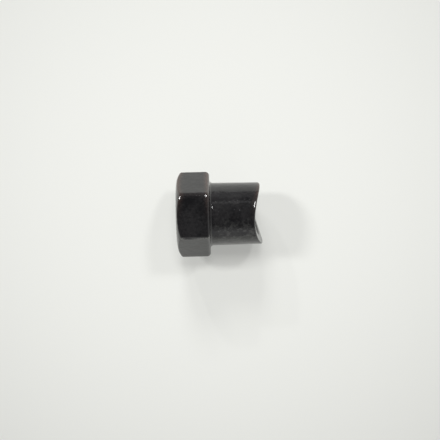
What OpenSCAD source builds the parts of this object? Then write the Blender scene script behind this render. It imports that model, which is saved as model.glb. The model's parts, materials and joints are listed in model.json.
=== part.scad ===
// Adjusting nut for the threaded end of a brake cable.
// A six-sided wrench head and a round shank, turned from one bar, with a tapped hole right through.
// The shank ends in a shallow saddle, which seats on the round pin of the brake arm and keeps the nut from turning.
// It lies on one flat of its head: the thread runs along +X towards the saddle, and +Z is up.

/* [Head] */
// Width across the flats, which is the wrench size
flats_w = 12; // [10:0.5:14]
// Length of the head along the thread
head_len = 5.35; // [4:0.05:8]
// Height that is turned off each of the six sharp corners
corner_off = 0.08; // [0.02:0.01:0.2]
// Distance from a flat in to where the end face stops being flat
face_inset = 1.25; // [0.8:0.05:2.2]
// Radius of the round edge that is turned between the end face and the flats
face_round = 3.2; // [2.3:0.1:6]
// Bevel along the edges of the head that face the shank
under_bevel = 0.35; // [0.1:0.05:0.6]

/* [Shank] */
// Diameter of the shank where it meets the head
root_d = 10.1; // [9:0.05:10.6]
// Diameter of the shank at its far end
tip_d = 9.95; // [8:0.05:10.6]
// Radius of the fillet between the head and the shank
fillet_r = 0.5; // [0.2:0.05:0.6]
// Length of the nut from the end face to the tips of the saddle
overall_len = 13.8; // [12:0.1:20]

/* [Saddle] */
// Radius of the saddle, which is the radius of the pin that it seats on
saddle_r = 10.7; // [7:0.1:20]
// Turn of the saddle about the thread, measured from the lower flat
saddle_turn = 18; // [-90:1:90]
// Distance that the saddle's lowest line lies off the thread's axis, which makes one tip a little longer
saddle_off = 0.3; // [0:0.1:0.8]
// Bevel on the two tips of the saddle
tip_bevel = 0.1; // [0.05:0.05:0.5]

/* [Thread] */
// Diameter of the hole before it is tapped, which is the crest diameter of the thread
bore_d = 5; // [4:0.1:6]
// Diameter of the countersink in the end face
face_sink_d = 6.8; // [6.2:0.1:8]
// Diameter of the countersink in the saddle, at the saddle's lowest line
saddle_sink_d = 6; // [6:0.1:7]

/* [Hidden] */
$fn = 96;

// Number of flats, and how far a corner stands from the middle of the head
sides = 6;
corner_r = flats_w / 2 / cos(180 / sides);
turned_r = corner_r - corner_off;

// Where the round edge of the end face starts, has its middle and meets the turned corners
face_r = flats_w / 2 - face_inset;
edge_start = [face_r, 0];
edge_mid = [face_r, face_round];
edge_end = [turned_r, face_round - sqrt(pow(face_round, 2) - pow(turned_r - face_r, 2))];

// The saddle is as deep as its radius makes it between its lowest line and the longer, bevelled tip
bevelled_r = tip_d / 2 - tip_bevel;
saddle_depth = saddle_r - sqrt(pow(saddle_r, 2) - pow(bevelled_r + saddle_off, 2));
saddle_floor = overall_len - saddle_depth;

// How far a cutting shape stands clear of what it cuts, and how far one only just passes a face
clear = 1;
skim = 0.02;

// Half section of the turned bar, with the thread's axis as the y axis
module turned_profile() {
    root_r = root_d / 2;
    tip_r = tip_d / 2;
    difference() {
        polygon([
            [0, 0],
            edge_start,
            edge_end,
            [turned_r, head_len],
            [root_r + fillet_r, head_len],
            [root_r, head_len + fillet_r],
            [tip_r, overall_len - tip_bevel],
            [bevelled_r - clear, overall_len + clear],
            [0, overall_len + clear]
        ]);
        translate([root_r + fillet_r, head_len + fillet_r]) circle(r = fillet_r);
    }
    face_edge();
}

// The round edge of the end face, as a slice of a disc that touches the face
module face_edge() {
    intersection() {
        translate(edge_mid) circle(r = face_round);
        polygon([edge_mid, edge_start, [turned_r, -clear], edge_end]);
    }
}

// Everything outside the six flats over the length of the head, with one flat square to x
module flats_cut() {
    difference() {
        translate([0, 0, -clear])
            cylinder(r = corner_r + clear, h = head_len + clear);
        rotate([0, 0, 180 / sides])
            cylinder(r = corner_r, h = 2 * (head_len + 2 * clear), center = true, $fn = sides);
    }
}

// Wedges that bevel the edges of the flats on the side of the shank
module under_bevels() {
    inner = flats_w / 2 - under_bevel - skim;
    outer = flats_w / 2 + clear;
    for (i = [0 : sides - 1])
        rotate([0, 0, i * 360 / sides])
            rotate([90, 0, 0])
                linear_extrude(height = flats_w, center = true)
                    polygon([
                        [inner, head_len + skim],
                        [outer, head_len + skim],
                        [outer, head_len - under_bevel - clear]
                    ]);
}

// The pin of the brake arm, which leaves the saddle
module saddle_cut() {
    rotate([0, 0, saddle_turn])
        translate([0, saddle_off, saddle_floor + saddle_r])
            rotate([0, 90, 0])
                cylinder(r = saddle_r, h = root_d + 2 * clear, center = true);
}

// Tapping hole with a countersink at either end
module bore_cut() {
    face_sink = (face_sink_d - bore_d) / 2;
    saddle_sink = (saddle_sink_d - bore_d) / 2;
    translate([0, 0, -clear]) cylinder(d = bore_d, h = overall_len + 2 * clear);
    translate([0, 0, -clear])
        cylinder(d1 = face_sink_d + 2 * clear, d2 = bore_d, h = face_sink + clear);
    translate([0, 0, saddle_floor - saddle_sink])
        cylinder(d1 = bore_d, d2 = bore_d + 2 * (saddle_sink + saddle_depth + clear),
                 h = saddle_sink + saddle_depth + clear);
}

// The nut as it stands on its end face, with the thread along z
module turned_nut() {
    difference() {
        rotate_extrude() turned_profile();
        flats_cut();
        under_bevels();
        saddle_cut();
        bore_cut();
    }
}

// The nut laid on a flat, with the middle of its length at x = 0
module adjusting_nut() {
    color([0.13, 0.13, 0.14])
        translate([-overall_len / 2, 0, flats_w / 2])
            rotate([0, 90, 0])
                turned_nut();
}

adjusting_nut();
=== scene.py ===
# %% [markdown]
# # A brake cable adjusting nut, dressed round its CAD solid
# The nut screws on to the threaded end of a brake cable. Its head takes a wrench, and the saddle across the end of its
# shank sits on a round pin, so that the nut can't turn by itself. The CAD part already has the true sizes, so this
# script starts by loading it as a fixed frame and measuring its box, and everything below is worked out from that box,
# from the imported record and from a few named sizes.

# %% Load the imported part
import json
import math

import bpy
import numpy as np
from mathutils import Matrix, Vector


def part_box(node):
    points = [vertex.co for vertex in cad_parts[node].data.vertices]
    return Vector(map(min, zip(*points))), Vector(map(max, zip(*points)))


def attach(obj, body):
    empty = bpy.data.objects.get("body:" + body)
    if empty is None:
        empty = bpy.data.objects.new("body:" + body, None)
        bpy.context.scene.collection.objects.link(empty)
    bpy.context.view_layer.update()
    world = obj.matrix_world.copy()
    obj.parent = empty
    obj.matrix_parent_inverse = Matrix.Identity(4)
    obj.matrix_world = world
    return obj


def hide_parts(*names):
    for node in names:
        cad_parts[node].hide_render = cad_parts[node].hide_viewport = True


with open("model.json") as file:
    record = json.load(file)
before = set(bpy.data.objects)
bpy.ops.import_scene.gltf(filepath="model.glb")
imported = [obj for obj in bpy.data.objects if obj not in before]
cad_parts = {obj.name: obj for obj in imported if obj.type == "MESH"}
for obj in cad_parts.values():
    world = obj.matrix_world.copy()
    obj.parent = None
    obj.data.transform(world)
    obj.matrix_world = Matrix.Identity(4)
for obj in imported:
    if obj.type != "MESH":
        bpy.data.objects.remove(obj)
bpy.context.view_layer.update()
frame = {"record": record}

MM = 0.001

# %% [markdown]
# ## Sizes
# The real nut is turned from bar, so nearly all of it is described by a half section and a few lengths. The sizes that
# the box and the mounts of the CAD part give are read from them. Written here are the other sizes of its section, how
# far each sharp edge is broken, and the thread that the solid leaves out. All of them are in millimetres, because a
# maker thinks of this nut in millimetres, and the mesh is turned into metres at the very end.

# %% Sizes read from the frame
node_low, node_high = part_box("adjusting_nut")
mounts = {mount["name"]: mount for mount in frame["record"]["mounts"]}

LENGTH = (node_high.x - node_low.x) / MM
FLAT_R = (node_high.z - node_low.z) / MM / 2
BORE_R = mounts["thread"]["dims"]["r_mm"]
SADDLE_R = mounts["saddle"]["dims"]["r_mm"]
SADDLE_FLOOR = mounts["saddle"]["pos_m"][0] / MM + LENGTH / 2
TIP_R = mounts["saddle"]["dims"]["length_mm"] / 2
print(f"length {LENGTH:.2f}, across flats {2 * FLAT_R:.2f}, bore {2 * BORE_R:.2f}, saddle floor at {SADDLE_FLOOR:.2f}")

# %% Sizes of the head, the shank, the saddle and the thread
HEAD_LEN = 5.35
FACE_R = 4.75
FACE_ROUND = 3.2
UNDER_BEVEL = 0.35
ROOT_R = 5.05
FILLET_R = 0.5
TIP_BEVEL = 0.1
SADDLE_TURN = math.radians(18)
SADDLE_OFF = 0.3
FACE_SINK_R = 3.4
SADDLE_SINK_R = 3.0
PITCH = 1.0
THREAD_DEPTH = 0.5
print(f"head {HEAD_LEN:.2f} long, shank {2 * ROOT_R:.2f} to {2 * TIP_R:.2f} thick, thread {THREAD_DEPTH:.2f} deep")

# %% [markdown]
# ## Broken and worn edges
# Tumbling breaks every sharp edge of the real nut, and wrench and fingers then wear some of them further: the corners
# of the head beside the flat on top, and the rim of the saddle on one side. The solid leaves them sharp or nearly
# sharp, so their widths are chosen here, by the width of the bright lines that such edges show.

# %% Widths of the broken edges
CORNER_ROUND = 0.6
CORNER_WORN = 1.1
ARC_EDGE = 0.2
BEVEL_EDGE = 0.24
STEP_EDGE = 0.6 * BEVEL_EDGE
RIM_EDGE = 0.36
RIM_WORN = 0.12
RIM_WORN_SIDE = math.radians(40)
SINK_EDGE = 0.1
print(f"corners rounded by {CORNER_ROUND} to {CORNER_WORN} mm")
print(f"rim broken by {RIM_EDGE} mm, and by up to {RIM_WORN} mm more or less where it is worn")

# %% [markdown]
# ## Angles round the thread
# A nut can be modelled as boxes and cylinders that are cut from one another, but then every edge stays razor sharp. The
# way chosen here is one closed grid: the columns run round the thread, the rings run along a path that goes out over
# the end face, along the outside, over the saddle and back through the hole. A grid like this has no seams, and each
# edge can be rounded by a few more rings or columns. The columns stand closer where the six corners are rounded.

# %% Angles of the columns
SIDES = 6
SIXTH = 2 * math.pi / SIDES
FLAT_STEPS = 24
CORNER_STEPS = 14
EVEN_PART = 0.985
half_flat = math.atan((FLAT_R - CORNER_WORN) * math.tan(SIXTH / 2) / FLAT_R)


def column_angles():
    """Angles round the thread, from the flat on top. Each sixth of a turn has even steps over its flat, one narrow step
    at either end of it, and fine steps round the corner, and the six are laid one after another."""
    on_flat = np.linspace(-EVEN_PART, EVEN_PART, FLAT_STEPS) * half_flat
    on_corner = np.linspace(half_flat, SIXTH - half_flat, CORNER_STEPS)
    sector = np.concatenate([on_flat, on_corner])
    return (sector + np.arange(SIDES)[:, None] * SIXTH).ravel()


theta = column_angles()
COLUMNS = len(theta)
print("columns round the thread:", COLUMNS)

# %% [markdown]
# ## The hexagon
# Across the thread the head is a hexagon with rounded corners. Its radius at an angle is the distance to the flat, or
# near a corner the distance to a small circle that touches both flats. The formula needs no cases for the six sides,
# because the angle is first folded back to the nearest flat.

# %% Radius of the hexagon
def folded(angle, turn):
    """The angle brought back to within half of this turn on either side of nothing, by whole turns: the angle plus half
    a turn, what is left of it over the turn, less half a turn."""
    return (angle + turn / 2) % turn - turn / 2


def hex_radius(angle, rounding):
    """Distance from the thread's axis to the hexagon. On a flat it is the flat's distance over the cosine of the angle
    from the flat's middle. Within the corner it is where a ray crosses the corner's circle on its far side: the
    circle's distance times the cosine of the angle to it, plus the root of its radius squared less the sine part
    squared."""
    off_middle = np.abs(folded(angle, SIXTH))
    off_corner = SIXTH / 2 - off_middle
    centre = (FLAT_R - rounding) / math.cos(SIXTH / 2)
    half_chord = np.sqrt(np.maximum(rounding**2 - (centre * np.sin(off_corner)) ** 2, 0))
    rounded = centre * np.cos(off_corner) + half_chord
    flat_ends = (FLAT_R - rounding) * math.tan(SIXTH / 2) / FLAT_R
    return np.where(np.tan(off_middle) > flat_ends, rounded, FLAT_R / np.cos(off_middle))


hexagon = hex_radius(theta, CORNER_ROUND)
print(f"hexagon from {hexagon.min():.3f} to {hexagon.max():.3f} mm from the axis")

# %% [markdown]
# ## Pieces of the path
# The path in each column is made of straight runs, arcs and rounded corners. Each of these helpers gives its points for
# all the columns at once, as an array of ring, column, and then the two numbers x, along the thread, and r, away from
# it. A rounded corner is a parabola, because it is the simplest curve that leaves one line and joins another smoothly,
# and it can't overshoot.

# %% Straight runs, corners and arcs
def at(x, r):
    """One ring: x along the thread and r away from it, each a number or one number for each column."""
    return np.stack(np.broadcast_arrays(np.zeros(COLUMNS) + x, r), axis=-1)


def shares(steps):
    """Even shares, one to each ring, from the first step up to one."""
    return np.linspace(0, 1, steps + 1)[1:, None]


def straight(start, end, steps):
    """Rings evenly spaced on the line from start to end, with the end and without the start."""
    return start + shares(steps)[..., None] * (end - start)


def corner(start, point, end, steps):
    """Rings on the parabola that leaves start towards point and arrives at end from point: start times one less t
    squared, plus point times twice t times one less t, plus end times t squared."""
    t = shares(steps)[..., None]
    return start * (1 - t) ** 2 + point * 2 * t * (1 - t) + end * t**2


# %% [markdown]
# ## The end face and its round edge
# The lathe faces the end of the bar and then turns a broad round edge between the face and the flats. Where this turned
# surface cuts the flats it leaves the six arcs that every turned nut head has. Here the turned surface is x as a
# function of r, and the arcs come by themselves, because each column stops at the hexagon's own radius.

# %% The turned end of the head
EDGE_RINGS = 4
FACE_RINGS = 4
TURNED_RINGS = 14
ARC_RINGS = 6


def turned_x(r):
    """Depth of the turned end at a distance r from the axis: nothing on the flat face, then a circle's arc, which is
    its radius less the root of its radius squared less the way out from the face's edge squared."""
    out = np.maximum(r - FACE_R, 0)
    return FACE_ROUND - np.sqrt(FACE_ROUND**2 - out**2)


def turned_slope(r):
    """How fast the depth grows with r: the way out over the root in turned_x."""
    out = np.maximum(r - FACE_R, 0)
    return out / np.sqrt(FACE_ROUND**2 - out**2)


def face_and_edge():
    """Rings from the mouth of the hole over the face and its round edge on to the flats."""
    mouth_in = at(SINK_EDGE, FACE_SINK_R - SINK_EDGE)
    mouth_out = at(0, FACE_SINK_R + SINK_EDGE)
    r_stop = hexagon - ARC_EDGE
    r_turned = FACE_R + shares(TURNED_RINGS) * (r_stop - FACE_R)
    turned = np.stack([turned_x(r_turned), r_turned], axis=-1)
    x_corner = turned_x(r_stop) + turned_slope(r_stop) * ARC_EDGE
    on_flat = at(x_corner + ARC_EDGE, hexagon)
    return [
        mouth_in[None],
        corner(mouth_in, at(0, FACE_SINK_R), mouth_out, EDGE_RINGS),
        straight(mouth_out, at(0, FACE_R), FACE_RINGS),
        turned,
        corner(turned[-1], at(x_corner, hexagon), on_flat, ARC_RINGS),
    ]


face_path = face_and_edge()
print("rings over the end face and its round edge:", sum(len(part) for part in face_path))

# %% [markdown]
# ## The flats and the shank
# Behind the round edge come the six flats, a small bevel on the side of the shank, the narrow step down to the shank,
# the fillet that the turning tool leaves, and the shank, which gets 0.15 mm thinner towards its end. The bevel follows
# the hexagon, so its ring is the hexagon made smaller. The rings stand closer on the last millimetre of the flats,
# because one of the knocks that are added later falls there.

# %% The side of the head and the shank
FINE_LENGTH = 1.2
FLAT_RINGS = 10
FINE_RINGS = 22
BEVEL_RINGS = 3
STEP_RINGS = 2
FILLET_RINGS = 9


def shank_r(x):
    """Radius of the shank: a straight line from the root's radius after the fillet to the tip's before the bevel."""
    share = (x - HEAD_LEN - FILLET_R) / (LENGTH - TIP_BEVEL - HEAD_LEN - FILLET_R)
    return ROOT_R + share * (TIP_R - ROOT_R)


def head_side():
    """Rings along the flats, over the bevel and down the step to the fillet."""
    smaller = (FLAT_R - UNDER_BEVEL) / FLAT_R
    edge_share = BEVEL_EDGE / (UNDER_BEVEL * math.sqrt(2))
    bevel_start = at(HEAD_LEN - UNDER_BEVEL, hexagon)
    bevel_end = at(HEAD_LEN, hexagon * smaller)
    before = at(HEAD_LEN - UNDER_BEVEL - BEVEL_EDGE, hexagon)
    fine_from = at(HEAD_LEN - UNDER_BEVEL - BEVEL_EDGE - FINE_LENGTH, hexagon)
    first = bevel_start + edge_share * (bevel_end - bevel_start)
    last = bevel_end + edge_share * (bevel_start - bevel_end)
    on_step = at(HEAD_LEN, hexagon * smaller - STEP_EDGE)
    return [
        straight(face_path[-1][-1], fine_from, FLAT_RINGS),
        straight(fine_from, before, FINE_RINGS),
        corner(before, bevel_start, first, EDGE_RINGS),
        straight(first, last, BEVEL_RINGS),
        corner(last, bevel_end, on_step, EDGE_RINGS),
        straight(on_step, at(HEAD_LEN, ROOT_R + FILLET_R), STEP_RINGS),
    ]


def fillet():
    """Rings on a quarter circle: x is its middle less its radius times the cosine, r its middle less the sine part."""
    turn = math.pi / 2 * shares(FILLET_RINGS)
    x = HEAD_LEN + FILLET_R - FILLET_R * np.cos(turn)
    r = ROOT_R + FILLET_R - FILLET_R * np.sin(turn)
    return np.stack(np.broadcast_arrays(x + np.zeros(COLUMNS), r), axis=-1)


side_path = head_side()
fillet_path = fillet()
print("rings along the head's side:", sum(len(part) for part in side_path))
print("rings in the fillet:", len(fillet_path))

# %% [markdown]
# ## The saddle
# A mill as wide as the pin cuts the saddle straight across the end of the shank. It isn't square to the flats: the
# cutter's line is turned 18 degrees about the thread and lies 0.3 mm off the axis, so that one horn of the saddle is
# longer. Its surface is again x as a function of the place across the thread, a circle's arc, and the rim where it
# meets the round shank comes from stopping each column at the shank's radius. The rim is broken with a file or by
# tumbling.

# %% The saddle and its rim
SHANK_RINGS = 16
RIM_RINGS = 8
SADDLE_RINGS = 12
SINK_ROUNDS = 12


def across_saddle(r):
    """Distance from the saddle's lowest line: r times the sine of the angle from that line, less the line's offset."""
    return r * np.sin(theta + SADDLE_TURN) - SADDLE_OFF


def saddle_x(r):
    """Height of the saddle: its floor and radius, less the root of its radius squared less the way across squared."""
    return SADDLE_FLOOR + SADDLE_R - np.sqrt(SADDLE_R**2 - across_saddle(r) ** 2)


def saddle_slope(r):
    """How fast the saddle rises with r: the way across over the root in saddle_x, times the sine of the angle."""
    across = across_saddle(r)
    return across * np.sin(theta + SADDLE_TURN) / np.sqrt(SADDLE_R**2 - across**2)


def shank_and_saddle():
    """Rings from the fillet along the shank, over the rim and across the saddle to the hole. The rim's width goes up
    and down with the cosine of the angle from the side that is worn most. The edge of the countersink is where its
    cone and the saddle are equally high, and it is found by setting its radius to the saddle's height there again and
    again."""
    rim_r = shank_r(saddle_x(TIP_R))
    width = RIM_EDGE + RIM_WORN * np.cos(theta - RIM_WORN_SIDE)
    inner_r = rim_r - width
    rim_x = saddle_x(inner_r) + saddle_slope(inner_r) * width
    on_shank = at(rim_x - width, shank_r(rim_x - width))
    on_saddle = at(saddle_x(inner_r), inner_r)
    sink_r = SADDLE_SINK_R + np.zeros(COLUMNS)
    for _ in range(SINK_ROUNDS):
        sink_r = SADDLE_SINK_R + saddle_x(sink_r) - SADDLE_FLOOR
    r_across = inner_r + shares(SADDLE_RINGS) * (sink_r + SINK_EDGE - inner_r)
    across = np.stack([saddle_x(r_across), r_across], axis=-1)
    in_sink = at(SADDLE_FLOOR + sink_r - SINK_EDGE - SADDLE_SINK_R, sink_r - SINK_EDGE)
    return [
        straight(fillet_path[-1], on_shank, SHANK_RINGS),
        corner(on_shank, at(rim_x, rim_r), on_saddle, RIM_RINGS),
        across,
        corner(across[-1], at(saddle_x(sink_r), sink_r), in_sink, EDGE_RINGS),
    ]


saddle_path = shank_and_saddle()
print("rings over the shank and the saddle:", sum(len(part) for part in saddle_path))

# %% [markdown]
# ## The thread
# The hole is tapped M6, with one turn to each millimetre. A thread could be a separate spiral laid into the hole, but
# two pieces then cut through each other. Here the radius of the hole itself goes in and out with the place along the
# thread plus the angle round it, and the countersinks simply win wherever they are wider. The rings stand a sixteenth
# of a turn apart, and the profile's corners are eased, as a tap with worn teeth leaves them.

# %% The tapped hole
RINGS_PER_TURN = 16
LEAD_RINGS = 3
LEAD_DEPTH = 1.5 * SINK_EDGE
CREST_SHARE = 0.25
FLANK_SHARE = 0.58


def thread_r(x):
    """Radius of the tapped hole: the share of a turn, x over the pitch plus the angle over a full turn, is folded into
    a wave from 0 to 1, steepened into flanks of 60 degrees with flats between them, eased, and added to the bore."""
    share = (x / PITCH + theta / (2 * math.pi)) % 1
    wave = np.abs(2 * share - 1)
    flank = np.clip((wave - CREST_SHARE) / FLANK_SHARE, 0, 1)
    return BORE_R + THREAD_DEPTH * flank * flank * (3 - 2 * flank)


def tapped_hole():
    """Rings from the saddle's countersink back to the face's, each at the wider of the thread and the countersinks."""
    start_x = saddle_path[-1][-1][:, 0]
    deep_x = SADDLE_FLOOR - LEAD_DEPTH
    count = round((deep_x - SINK_EDGE) / PITCH * RINGS_PER_TURN)
    lead_in = start_x + shares(LEAD_RINGS) * (deep_x - start_x)
    even = np.linspace(deep_x, SINK_EDGE, count + 1)[1:-1, None] + np.zeros(COLUMNS)
    x = np.concatenate([lead_in, even])
    cones = np.maximum(FACE_SINK_R - x, SADDLE_SINK_R + x - SADDLE_FLOOR)
    return np.stack([x, np.maximum(thread_r(x), cones)], axis=-1)


hole_path = tapped_hole()
print("rings in the tapped hole:", len(hole_path))

# %% [markdown]
# ## The whole path
# Laid one after another, the pieces make the closed path of each column. Everything that follows happens on some of
# them and not on the others, so each piece gets a name, and a helper tells which rings lie between two of them.

# %% Join the pieces
PIECES = [
    "mouth",
    "mouth edge",
    "face",
    "turned edge",
    "arcs",
    "flats",
    "end of flats",
    "bevel start",
    "bevel",
    "bevel end",
    "step",
    "fillet",
    "shank",
    "rim",
    "saddle",
    "sink edge",
    "hole",
]
parts = face_path + side_path + [fillet_path] + saddle_path + [hole_path]
path = np.concatenate(parts)
ring_count = dict(zip(PIECES, [len(part) for part in parts]))
first_ring = dict(zip(PIECES, np.cumsum([0, *ring_count.values()])))


def between(first, past):
    """One column with a truth value for each ring: true from the first ring of a piece up to that of a later one."""
    ring = np.arange(len(path))[:, None]
    return (ring >= first_ring[first]) & (ring < first_ring[past])


print("rings in all:", len(path), "in", len(parts), "pieces")

# %% [markdown]
# ## A slightly uneven outside
# A coated nut that has been used isn't a mirror: its flats are very slightly hollow and its edges wander by a hundredth
# of a millimetre or two. A few long sine waves, added together, give that unevenness. The two corners beside the flat
# on top are worn rounder, by a different amount from place to place. Both only ever take metal away, so the nut stays
# inside the sizes of its CAD part, and the hole and the saddle are left as they are.

# %% Make the outside uneven
WAVE_DEPTH = 0.016
WAVES = [
    # radians per millimetre along the thread, waves in a turn, shift in radians
    (0.9, 5, 0.3),
    (1.7, -8, 2.1),
    (2.6, 13, 4.4),
    (0.5, 21, 1.2),
]
WANDER_FAST, WANDER_SLOW = 2.3, 1.1
WANDER_ROUND, WANDER_SHIFT = 1.5, 0.6
STEADY_WEAR = 0.55
TOP_GAIN, TOP_LESS = 1.6, 0.4
EASE_RINGS = 7


def unevenness(x, angle):
    """Depth that is taken off: the mean of the sines of (waves per millimetre times x, plus waves per turn times the
    angle, plus a shift), moved up so that it is never below nothing."""
    waves = [np.sin(along * x + round_ * angle + shift) for along, round_, shift in WAVES]
    return WAVE_DEPTH * (1 + sum(waves) / len(WAVES)) / 2


def corner_loss(x, angle):
    """Depth that the worn corners have lost: the hexagon with its small rounding less the hexagon with a larger one.
    The larger one grows with the cosine of the angle from the top, and wanders with a fast sine times a slow cosine of
    x, which differ from corner to corner by the sine of the angle."""
    fast = np.sin(WANDER_FAST * x + WANDER_ROUND * np.sin(angle) + WANDER_SHIFT)
    wander = (1 + fast * np.cos(WANDER_SLOW * x)) / 2
    top = np.clip(TOP_GAIN * np.cos(angle) - TOP_LESS, 0, 1)
    share = top * (STEADY_WEAR + (1 - STEADY_WEAR) * wander)
    rounding = CORNER_ROUND + share * (CORNER_WORN - CORNER_ROUND)
    return hex_radius(angle, CORNER_ROUND) - hex_radius(angle, rounding)


def eased(first, past):
    """One for each ring from a piece up to a later one, nothing elsewhere, with the two ends smoothed by the mean over
    EASE_RINGS rings."""
    on = np.pad(between(first, past)[:, 0].astype(float), EASE_RINGS // 2, mode="edge")
    return np.convolve(on, np.ones(EASE_RINGS) / EASE_RINGS, mode="valid")[:, None]


hollows = eased("turned edge", "rim") * unevenness(path[..., 0], theta)
corners_off = eased("arcs", "step") * corner_loss(path[..., 0], theta)
path[..., 1] -= hollows + corners_off
print(f"deepest hollow {hollows.max():.3f} mm, most off a corner {corners_off.max():.3f} mm")

# %% [markdown]
# ## Where the coating is rubbed
# Handling and the wrench rub the coating along its edges, where a warm brown shows through, and mostly on the far upper
# side. The grid knows where its edges are, so each point gets a number from 0 to 1 that says how near it is to one. It
# is stored on the mesh as an attribute, which the material reads.

# %% Nearness to the edges
EDGES = [
    # piece of the path that holds the edge, width in mm of the rubbed band, strength
    ("mouth edge", 0.20, 0.5),
    ("arcs", 0.45, 1.0),
    ("bevel start", 0.45, 1.0),
    ("bevel end", 0.30, 1.0),
    ("rim", 0.45, 1.0),
    ("sink edge", 0.20, 0.5),
]
CORNER_BAND = 0.30
CORNER_STRENGTH = 0.2
WORN_SIDE = math.radians(75)
LEAST_WORN = 0.1


def hump(way, width):
    """One where the way is nothing, falling away on either side: e to the power of minus (way over width) squared."""
    return np.exp(-((way / width) ** 2))


def edge_nearness():
    """For each edge, its strength times a hump of the way along the path from the edge's middle, and the same for the
    way round to the nearest corner of the hexagon. The largest of them counts, times the square of the cosine of the
    angle from the side that is worn most."""
    steps = np.linalg.norm(np.diff(path, axis=0, prepend=path[:1]), axis=-1)
    way = np.cumsum(steps, axis=0)
    near = np.zeros(path.shape[:2])
    for piece, width, strength in EDGES:
        middle = way[first_ring[piece] + ring_count[piece] // 2]
        near = np.maximum(near, strength * hump(way - middle, width))
    to_corner = FLAT_R * (math.tan(SIXTH / 2) - np.tan(np.abs(folded(theta, SIXTH))))
    near = np.maximum(near, CORNER_STRENGTH * between("arcs", "step") * hump(to_corner, CORNER_BAND))
    return near * np.clip(np.cos(theta - WORN_SIDE), LEAST_WORN, 1) ** 2


rubbed = edge_nearness()
print(f"share of the points close to an edge: {(rubbed > 0.5).mean():.2f}")

# %% [markdown]
# ## Where the shank gets painted grey patches
# On its near side the shank gets small grey patches painted into its colour, which stand in for its mottled
# reflection there: painted reflection. As with the edges, a number at each point says where: it is one along one
# line of the shank and falls away round it. The patches themselves come from a noise in the material.

# %% The painted grey patches on the shank
# painted reflection: where the grey patches for the shank's mottled reflection lie
SHEEN_SIDE = math.radians(-44)
SHEEN_WIDTH = math.radians(26)


def sheen_mask():
    """On the rings of the shank and its rim, a hump of the angle from the middle line of the painted patches."""
    return between("shank", "saddle") * hump(folded(theta - SHEEN_SIDE, 2 * math.pi), SHEEN_WIDTH)


sheen_painted = sheen_mask()
print(f"share of the points on the scuffed side: {(sheen_painted > 0.5).mean():.2f}")

# %% [markdown]
# ## Where one corner gets a painted highlight
# On the near corner beside the flat on top, a pale grey is painted as a highlight: the light line that this
# corner shows, in a spot where it starts and along its half next to the shank. It gets a number of its own, so that
# the material can colour it differently from the brown edges on the far side.

# %% The pale corner of the head
# painted highlight: where the pale grey line along the near corner lies
PALE_LINE = math.radians(-32.1)
PALE_WIDTH = 0.2
PALE_SPOT_AT, PALE_SPOT = 0.95, 0.3
PALE_FROM, PALE_RISE, PALE_REST = 2.0, 2.2, 0.8


def painted_highlight_corner():
    """From the turned edge to the bevel, a hump of the way round from the pale line, times the larger of two numbers: a
    hump of the way along the thread from the spot, and a rise from nothing to PALE_REST towards the shank."""
    off_line = folded(theta - PALE_LINE, 2 * math.pi) * FLAT_R / math.cos(SIXTH / 2)
    along_head = path[..., 0]
    spot_near = hump(along_head - PALE_SPOT_AT, PALE_SPOT)
    rise = PALE_REST * np.clip((along_head - PALE_FROM) / PALE_RISE, 0, 1)
    return between("turned edge", "bevel end") * hump(off_line, PALE_WIDTH) * np.maximum(spot_near, rise)


pale = painted_highlight_corner()
print(f"points on the pale corner: {int((pale > 0.5).sum())}")

# %% [markdown]
# ## Three small knocks
# Each ring and column now has its x and r, so a point's place is x along the thread and r turned round it, with the
# flat on top at angle nothing. The far corner of the head has been knocked at either end, and so has the rim of the
# saddle, and each knock left a small flat that catches the light. A cutting plane would leave hard edges, so here every
# point is moved back by its height over the plane, which is eased to nothing at the plane's rim.

# %% Points in space, and the knocks
KNOCK_EASE = 0.012
KNOCKS = [
    # pieces of the path from and up to, direction that the knock came from, depth in mm
    ("mouth", "fillet", (0.203, 0.276, 0.939), 0.036),
    ("mouth", "fillet", (-0.325, 0.200, 0.924), 0.026),
    ("fillet", "sink edge", (0.203, 0.262, 0.944), 0.024),
]
FAR_BELOW = -50.0


def knocked(points, towards, depth):
    """Points after a knock has flattened what stands out furthest in one direction: each goes back by its height over a
    plane that lies so deep under the furthest point. The logarithm of one plus e to the power of that height eases the
    plane's rim, and a point FAR_BELOW the plane doesn't move."""
    towards = np.array(towards) / np.linalg.norm(towards)
    height = points @ towards
    height += depth - height.max()
    loss = KNOCK_EASE * np.log1p(np.exp(np.maximum(height / KNOCK_EASE, FAR_BELOW)))
    return points - loss[..., None] * towards


x, r = path[..., 0], path[..., 1]
grid = np.stack([x - LENGTH / 2, r * np.sin(theta), FLAT_R + r * np.cos(theta)], axis=-1)
for first, past, towards, depth in KNOCKS:
    rings = slice(first_ring[first], first_ring[past])
    before = grid[rings].copy()
    grid[rings] = knocked(before, towards, depth)
    print("points moved by a knock:", int((np.linalg.norm(grid[rings] - before, axis=-1) > KNOCK_EASE / 2).sum()))

# %% [markdown]
# ## From the grid to a mesh
# Neighbouring points make the faces, and the last ring and the last column join the first, so the surface is closed
# like a tube bent into a ring. The volume is worked out from the faces: if it is negative, the faces point inwards and
# are turned.

# %% Make the mesh
def signed_volume(points, quads):
    """A sixth of the sum, over the two triangles of each face, of a corner times the cross product of the other two."""
    a, b, c, d = (points[quads[:, i]] for i in range(4))
    return (np.einsum("ij,ij->", a, np.cross(b, c)) + np.einsum("ij,ij->", a, np.cross(c, d))) / 6


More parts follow.
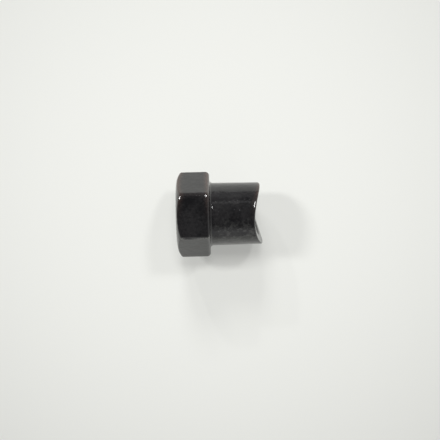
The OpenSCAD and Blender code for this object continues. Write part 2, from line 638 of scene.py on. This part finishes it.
def closed_grid(name, grid):
    """A mesh from a grid of points that closes on itself both ways, with its faces pointing outwards."""
    rings, columns = grid.shape[:2]
    here = np.arange(rings * columns).reshape(rings, columns)
    beside = np.roll(here, -1, axis=1)
    quads = np.stack([here, beside, np.roll(beside, -1, axis=0), np.roll(here, -1, axis=0)], axis=-1).reshape(-1, 4)
    points = grid.reshape(-1, 3)
    if signed_volume(points, quads) < 0:
        quads = quads[:, ::-1]
    mesh = bpy.data.meshes.new(name)
    mesh.from_pydata(points.tolist(), [], quads.tolist())
    mesh.polygons.foreach_set("use_smooth", np.ones(len(quads), bool))
    mesh.update()
    print(f"{name}: {2 * len(quads)} triangles, {signed_volume(points, quads) / MM**3:.1f} mm3")
    return mesh


mesh = closed_grid("adjusting_nut_coated", grid * MM)
for name, values in (("edge_wear", rubbed), ("sheen_painted", sheen_painted), ("painted_highlight_corner", pale)):
    stored = mesh.attributes.new(name, "FLOAT", "POINT")
    stored.data.foreach_set("value", values.astype(np.float32).ravel())

nut = bpy.data.objects.new("adjusting_nut_coated", mesh)
bpy.context.scene.collection.objects.link(nut)
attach(nut, "root")
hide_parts("adjusting_nut")

# %% [markdown]
# ## Helpers for materials
# A material here is a small network of nodes, and each node passes its outputs on to the next. A few helpers keep the
# cells short: a node is added together with what feeds it, and the three kinds that come up again and again, a sum or
# product, a change of range and a mix of two colours, get a helper each that gives back its output.

# %% Add and join nodes
MIX_INPUTS = (0, 6, 7)  # of a colour mix: the share, the colour below and the colour above
MIX_OUTPUT = 2


def feed(tree, value, socket):
    """Links a socket to another node's output, or sets it to a number or a colour."""
    if isinstance(value, bpy.types.NodeSocket):
        tree.links.new(value, socket)
    else:
        socket.default_value = value


def add(tree, kind, inputs=None, **settings):
    """A new node of this kind with these settings, its inputs fed by their names or numbers."""
    made = tree.nodes.new(kind)
    for name, value in settings.items():
        setattr(made, name, value)
    for socket, value in (inputs or {}).items():
        feed(tree, value, made.inputs[socket])
    return made


def maths(tree, operation, *values):
    """The result of a Math node on these values."""
    return add(tree, "ShaderNodeMath", dict(enumerate(values)), operation=operation).outputs[0]


def ranged(tree, value, limits, results=(0.0, 1.0)):
    """The value moved from between two limits to between two results, and held there."""
    inputs = {"Value": value, "From Min": limits[0], "From Max": limits[1], "To Min": results[0], "To Max": results[1]}
    return add(tree, "ShaderNodeMapRange", inputs).outputs["Result"]


def mixed(tree, share, below, above):
    """The share times the colour above plus one less the share times the colour below."""
    inputs = dict(zip(MIX_INPUTS, (share, below, above)))
    return add(tree, "ShaderNodeMix", inputs, data_type="RGBA").outputs[MIX_OUTPUT]


# %% [markdown]
# ## The black coating
# The steel carries a thin, hard, nearly black coating, glossy where it is whole and a little duller in patches. Its
# reflections are what the eye sees, so the base colour stays very dark, and the roughness changes softly from place to
# place. On the near side of the shank grey patches are painted for its mottled reflection, and along the near corner
# of the head a paler grey is painted as a highlight; brown comes through along the rubbed edges. Each of these is a
# layer: a number stored on the mesh says where it may be, and a noise breaks it up to spots. A fine bump on top breaks
# the reflections up, as on the real nut.

# %% Colours and noises of the coating
COATING_IOR = 1.66
ROUGHNESS = (0.05, 0.16)
BLACK = (0.0065, 0.0063, 0.0072, 1)
BLACK_LIGHT = (0.0200, 0.0192, 0.0200, 1)
BROWN = (0.085, 0.052, 0.042, 1)
# painted reflection: the grey of the patches on the shank's near side
SHEEN_GREY = (0.066, 0.066, 0.063, 1)
# painted highlight: the pale grey along the near corner of the head
HIGHLIGHT_GREY = (0.310, 0.310, 0.290, 1)
NOISES = {
    # name: about how many spots there are to a metre, levels of detail, strength of each level over the last
    "patches": (1500.0, 3.0, 0.6),
    "specks": (2600.0, 3.0, 0.6),
    "grain": (5200.0, 4.0, 0.65),
    "clouds": (330.0, 2.0, 0.5),
}
GLOSS_LIMITS = (0.35, 0.70)
MOTTLE_LIMITS = (0.80, 1.24)
LAYERS = [
    # attribute that says where, noise that breaks it up, between which limits, colour
    ("sheen_painted", "patches", (0.48, 0.62), SHEEN_GREY),
    ("painted_highlight_corner", "grain", (0.30, 0.58), HIGHLIGHT_GREY),
    ("edge_wear", "grain", (0.30, 0.58), BROWN),
]
SWELL_STRENGTH, SWELL_HEIGHT = 1.0, 0.00004
GRAIN_STRENGTH, GRAIN_HEIGHT = 0.35, 0.00001
print("layers over the black:", ", ".join(attribute for attribute, *_ in LAYERS))

# %% Material of the nut
coat = bpy.data.materials.new("black_coating")
coat.use_nodes = True
tree = coat.node_tree
shader = tree.nodes["Principled BSDF"]
shader.inputs["IOR"].default_value = COATING_IOR

place = add(tree, "ShaderNodeTexCoord").outputs["Object"]
noise = {}
for name, (scale, detail, roughness) in NOISES.items():
    inputs = {"Vector": place, "Scale": scale, "Detail": detail, "Roughness": roughness}
    noise[name] = add(tree, "ShaderNodeTexNoise", inputs).outputs["Fac"]

mottling = ranged(tree, maths(tree, "ADD", noise["specks"], noise["clouds"]), MOTTLE_LIMITS)
colour = mixed(tree, mottling, BLACK, BLACK_LIGHT)
for attribute, texture, limits, layer_colour in LAYERS:
    allowed = add(tree, "ShaderNodeAttribute", attribute_name=attribute).outputs["Fac"]
    spots = ranged(tree, noise[texture], limits)
    colour = mixed(tree, maths(tree, "MULTIPLY", allowed, spots), colour, layer_colour)

swell = {"Height": noise["patches"], "Strength": SWELL_STRENGTH, "Distance": SWELL_HEIGHT}
swelled = add(tree, "ShaderNodeBump", swell).outputs["Normal"]
fine = {"Height": noise["grain"], "Strength": GRAIN_STRENGTH, "Distance": GRAIN_HEIGHT, "Normal": swelled}
bumped = add(tree, "ShaderNodeBump", fine).outputs["Normal"]

feed(tree, colour, shader.inputs["Base Color"])
feed(tree, ranged(tree, noise["specks"], GLOSS_LIMITS, ROUGHNESS), shader.inputs["Roughness"])
feed(tree, bumped, shader.inputs["Normal"])
nut.data.materials.append(coat)
print("coating nodes:", len(tree.nodes))

# %% [markdown]
# ## The table
# The nut lies on a plain pale table, and one large flat sheet is enough for it. A table that is lit only by the lamps
# shows every shadow at its full depth, while on the photographer's pale table the shadows are light. So, for the
# camera and for reflections, a part of the table's look is a plain backdrop of the same colour, and the rest is
# the lit sheet, which keeps the nut's shadow. The colour gets a little darker outwards, with the square of the way
# from a point under the far side of the nut, as it does under lamps that hang close.

# %% Floor
FLOOR_HALF = 1.5
FLOOR_COLOUR = (0.900, 0.908, 0.868)
FLOOR_ROUGHNESS = 0.65
BACKDROP_SHARE = 0.36
DARKER_OUTWARDS = 60.0  # share of the colour that is lost, over the way squared in square metres
DARKEST = 0.8
FLOOR_LIGHTEST = (0.0, 0.006, 0.0)

floor_mesh = bpy.data.meshes.new("table")
corners = FLOOR_HALF * np.array([(-1, -1, 0), (1, -1, 0), (1, 1, 0), (-1, 1, 0)])
floor_mesh.from_pydata(corners.tolist(), [], [(0, 1, 2, 3)])
floor = bpy.data.objects.new("table", floor_mesh)
bpy.context.scene.collection.objects.link(floor)

paint = bpy.data.materials.new("pale_table")
paint.use_nodes = True
tree = paint.node_tree
lit = tree.nodes["Principled BSDF"]
lit.inputs["Roughness"].default_value = FLOOR_ROUGHNESS

spot = add(tree, "ShaderNodeTexCoord").outputs["Object"]
away = add(tree, "ShaderNodeVectorMath", {0: spot, 1: FLOOR_LIGHTEST}, operation="DISTANCE").outputs["Value"]
away_squared = maths(tree, "POWER", away, 2.0)
darkest_from = (1 - DARKEST) / DARKER_OUTWARDS
# painted shade: the table's colour falls off outwards, like the light under lamps that hang close
painted_falloff = ranged(tree, away_squared, (0.0, darkest_from), (1.0, DARKEST))
tint = add(tree, "ShaderNodeVectorMath", {0: FLOOR_COLOUR, "Scale": painted_falloff}, operation="SCALE").outputs["Vector"]
feed(tree, tint, lit.inputs["Base Color"])
glow = add(tree, "ShaderNodeEmission", {"Color": tint, "Strength": 1.0})

seen = add(tree, "ShaderNodeLightPath").outputs
by_camera_or_gloss = maths(tree, "MAXIMUM", seen["Is Camera Ray"], seen["Is Glossy Ray"])
glow_share = maths(tree, "MULTIPLY", by_camera_or_gloss, BACKDROP_SHARE)
both = add(tree, "ShaderNodeMixShader", {0: glow_share, 1: lit.outputs["BSDF"], 2: glow.outputs["Emission"]})
feed(tree, both.outputs["Shader"], tree.nodes["Material Output"].inputs["Surface"])
floor.data.materials.append(paint)
print(f"table {2 * FLOOR_HALF:.0f} m wide, darkest from {math.sqrt(darkest_from) / MM:.0f} mm out")

# %% [markdown]
# ## Light from all round
# A glossy black nut is a mirror of its room, so the room matters more than the lamps. The ceiling above is dark, the
# wall on the near side is bright, and a narrow bright strip on the far side draws the fine line along the shank. The
# sky of the scene is therefore a ramp of greys by the angle round the thread, from the near side over the top to the
# far side. Towards the two ends of the thread it goes over to plain greys, a dark one on the left and a lighter one on
# the right. A picture of a room would do the same, but a ramp has only a few numbers, and each of them can be changed
# by looking at one band of the nut.

# %% Surroundings
AROUND = [
    # share of the half turn from the near side of the table over the top to the far side, brightness
    (0.00, 0.48),
    (0.09, 0.48),
    (0.12, 0.62),
    (0.15, 0.48),
    (0.19, 0.33),
    (0.23, 0.15),
    (0.28, 0.08),
    (0.40, 0.06),
    (0.52, 0.07),
    (0.60, 0.12),
    (0.68, 0.14),
    (0.736, 0.15),
    (0.75, 1.00),
    (0.764, 0.14),
    (0.81, 0.11),
    (0.85, 0.18),
    (0.89, 0.30),
    (1.00, 0.32),
]
LEFT_END = 0.2
RIGHT_END = 0.5
ENDS_POWER = 4.0
BACKDROP = (0.88, 0.88, 0.87, 1)


def stops(ramp, pairs):
    """Sets a colour ramp's stops from pairs of place and grey value."""
    elements = ramp.color_ramp.elements
    while len(elements) > 1:
        elements.remove(elements[-1])
    for number, (place, grey) in enumerate(pairs):
        stop = elements[0] if number == 0 else elements.new(place)
        stop.position = place
        stop.color = (grey, grey, grey, 1)


world = bpy.data.worlds.new("room")
world.use_nodes = True
bpy.context.scene.world = world
tree = world.node_tree
direction = add(tree, "ShaderNodeTexCoord").outputs["Generated"]
toward = add(tree, "ShaderNodeSeparateXYZ", {"Vector": direction}).outputs
angle = maths(tree, "ARCTAN2", toward["Z"], toward["Y"])
ramp = add(tree, "ShaderNodeValToRGB", {"Fac": ranged(tree, angle, (math.pi, 0.0))})
stops(ramp, AROUND)
endward = maths(tree, "POWER", maths(tree, "ABSOLUTE", toward["X"]), ENDS_POWER)
wall = ranged(tree, toward["X"], (-1.0, 1.0), (LEFT_END, RIGHT_END))
walls = mixed(tree, endward, ramp.outputs["Color"], wall)
by_camera = add(tree, "ShaderNodeLightPath").outputs["Is Camera Ray"]
feed(tree, mixed(tree, by_camera, walls, BACKDROP), tree.nodes["Background"].inputs["Color"])
print("greys round the thread:", len(AROUND))

# %% [markdown]
# ## Lamps
# A lamp on the left and one on the right of the nut give the two soft shadows on either side and the small glints on
# its edges. One high up gives the soft shadow close to the nut, and two lower ones on the far side throw the long faint
# shadow on the near side. Those three stay out of the nut's gloss, where they would draw a line along the shank. Each
# lamp is placed by its direction, its width and its share of the light on the table, because a share can be read from
# the depth of the shadow: where a lamp's light is kept out, just that share is missing.

# %% Lamps
LAMPS = [
    # name, direction round the table from +X and height above it in degrees, width and depth in m, share of the
    # light, and whether it shows in gloss
    ("lamp_left", 155.0, 47.0, 0.17, 0.24, 0.24, True),
    ("lamp_right", 50.0, 54.0, 0.14, 0.20, 0.15, True),
    ("lamp_high", 82.0, 70.0, 0.26, 0.26, 0.21, False),
    ("lamp_far", 96.5, 34.6, 0.31, 0.31, 0.18, False),
    ("lamp_farther", 112.3, 29.8, 0.04, 0.04, 0.05, False),
]
LAMP_DISTANCE = 1.2


def lamp_power(light_share, height):
    """Watts for a share of the light on a white table: pi squared times the distance squared times the share, over the
    sine of the lamp's height."""
    return light_share * (math.pi * LAMP_DISTANCE) ** 2 / math.sin(height)


middle = Vector((0, 0, FLAT_R * MM))
for name, round_deg, height_deg, width, depth, light_share, in_gloss in LAMPS:
    round_, height = math.radians(round_deg), math.radians(height_deg)
    light = bpy.data.lights.new(name, "AREA")
    light.shape = "ELLIPSE"
    light.size = width
    light.size_y = depth
    light.energy = lamp_power(light_share, height)
    lamp = bpy.data.objects.new(name, light)
    bpy.context.scene.collection.objects.link(lamp)
    towards = Vector((math.cos(height) * math.cos(round_), math.cos(height) * math.sin(round_), math.sin(height)))
    lamp.location = middle + LAMP_DISTANCE * towards
    lamp.rotation_euler = towards.to_track_quat("Z", "Y").to_euler()
    lamp.visible_glossy = in_gloss
    print(f"{name}: {light.energy:.2f} W")

# %% [markdown]
# ## Camera
# The photograph looks straight down on the nut, with the camera turned a little about its own axis and leaning very
# slightly. The distance and the scale were found by matching the outline, and the lens follows from the two.

# %% Camera
CAMERA_DISTANCE = 0.180
PIXELS_PER_M = 6200.0
IMAGE_WIDTH = 440
SENSOR_WIDTH = 36.0
LEAN = math.radians(2.7)
ROLL = math.radians(1.35)
PICTURE_MIDDLE = (6.96, -0.825, 0.0)  # in mm from the middle of the end face, in the camera's own directions
NEAREST, FURTHEST = 0.001, 10.0

camera_data = bpy.data.cameras.new("camera")
camera_data.sensor_width = SENSOR_WIDTH
camera_data.lens = SENSOR_WIDTH * PIXELS_PER_M * CAMERA_DISTANCE / IMAGE_WIDTH
camera_data.clip_start, camera_data.clip_end = NEAREST, FURTHEST
camera = bpy.data.objects.new("camera", camera_data)
bpy.context.scene.collection.objects.link(camera)
facing = (Matrix.Rotation(ROLL, 3, "Z") @ Matrix.Rotation(LEAN, 3, "X")).transposed()
face_middle = Vector((-LENGTH / 2 * MM, 0, FLAT_R * MM))
looked_at = face_middle + facing @ (MM * Vector(PICTURE_MIDDLE))
camera.matrix_world = Matrix.Translation(looked_at + facing @ Vector((0, 0, CAMERA_DISTANCE))) @ facing.to_4x4()
bpy.context.scene.camera = camera
print(f"lens {camera_data.lens:.1f} mm")

# %% [markdown]
# ## Finish
# The colours are shown as they are, without a film look.

# %% View
bpy.context.scene.view_settings.view_transform = "Standard"
